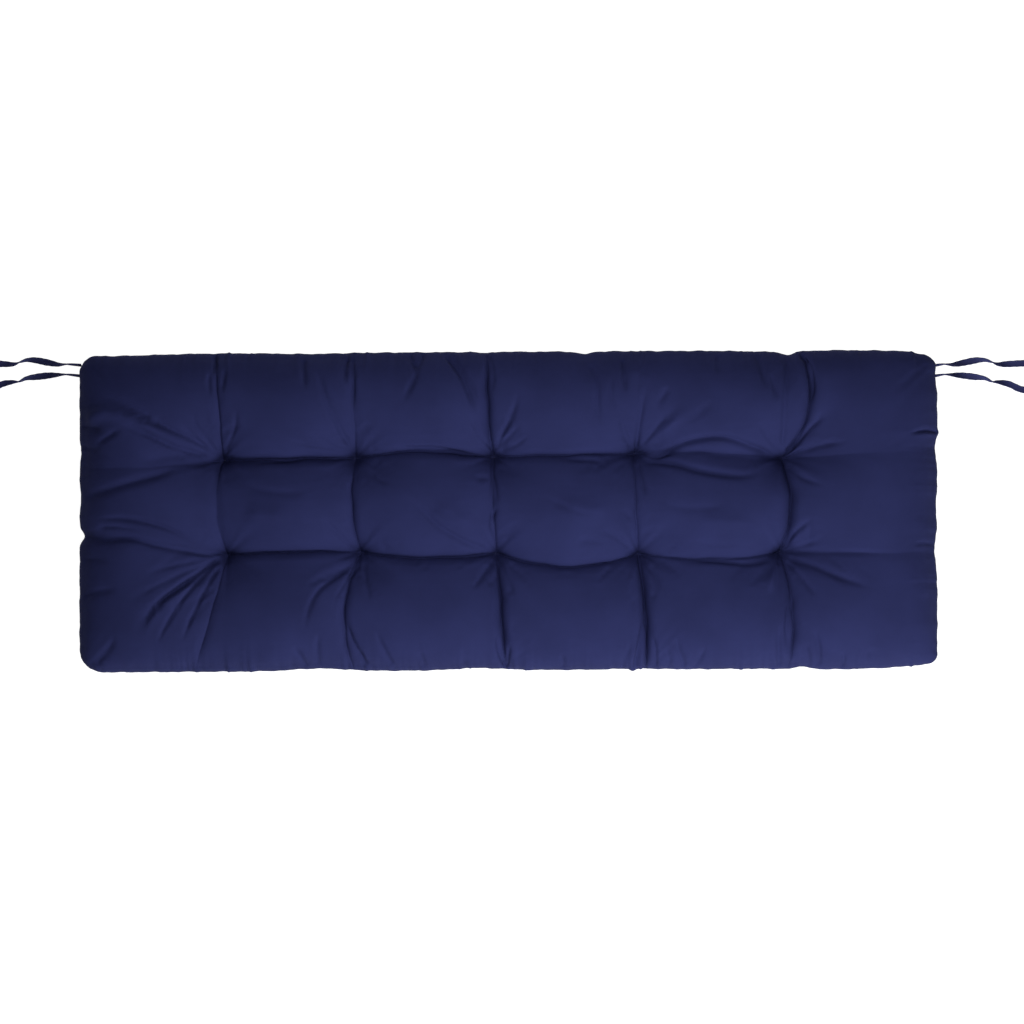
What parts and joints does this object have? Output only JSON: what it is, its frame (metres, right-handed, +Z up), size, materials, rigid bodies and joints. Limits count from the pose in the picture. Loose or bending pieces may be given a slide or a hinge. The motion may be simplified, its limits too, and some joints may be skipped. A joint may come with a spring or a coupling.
{
  "type": "bench cushion",
  "caption": "Long navy tufted bench cushion with a soft filled body, sewn channels and fabric tie pairs at the back corners.",
  "frame": {"origin": "bottom centre of the whole part, on the surface that it lies on", "axes": "+X along the cushion's length, +Y towards the edge with the ties, +Z up out of the tufted face"},
  "size_m": [1.8271, 0.4886, 0.1082],
  "materials": {
    "navy_cloth": "matt woven polyester",
    "tie_cloth": "matt woven polyester, folded and stitched",
    "thread": "twisted polyester thread"
  },
  "bodies": {
    "root": {"cushion": "navy_cloth", "tie_right_back": "tie_cloth", "tie_right_front": "tie_cloth", "tie_left_back": "tie_cloth", "tie_left_front": "tie_cloth"}
  },
  "joints": []
}
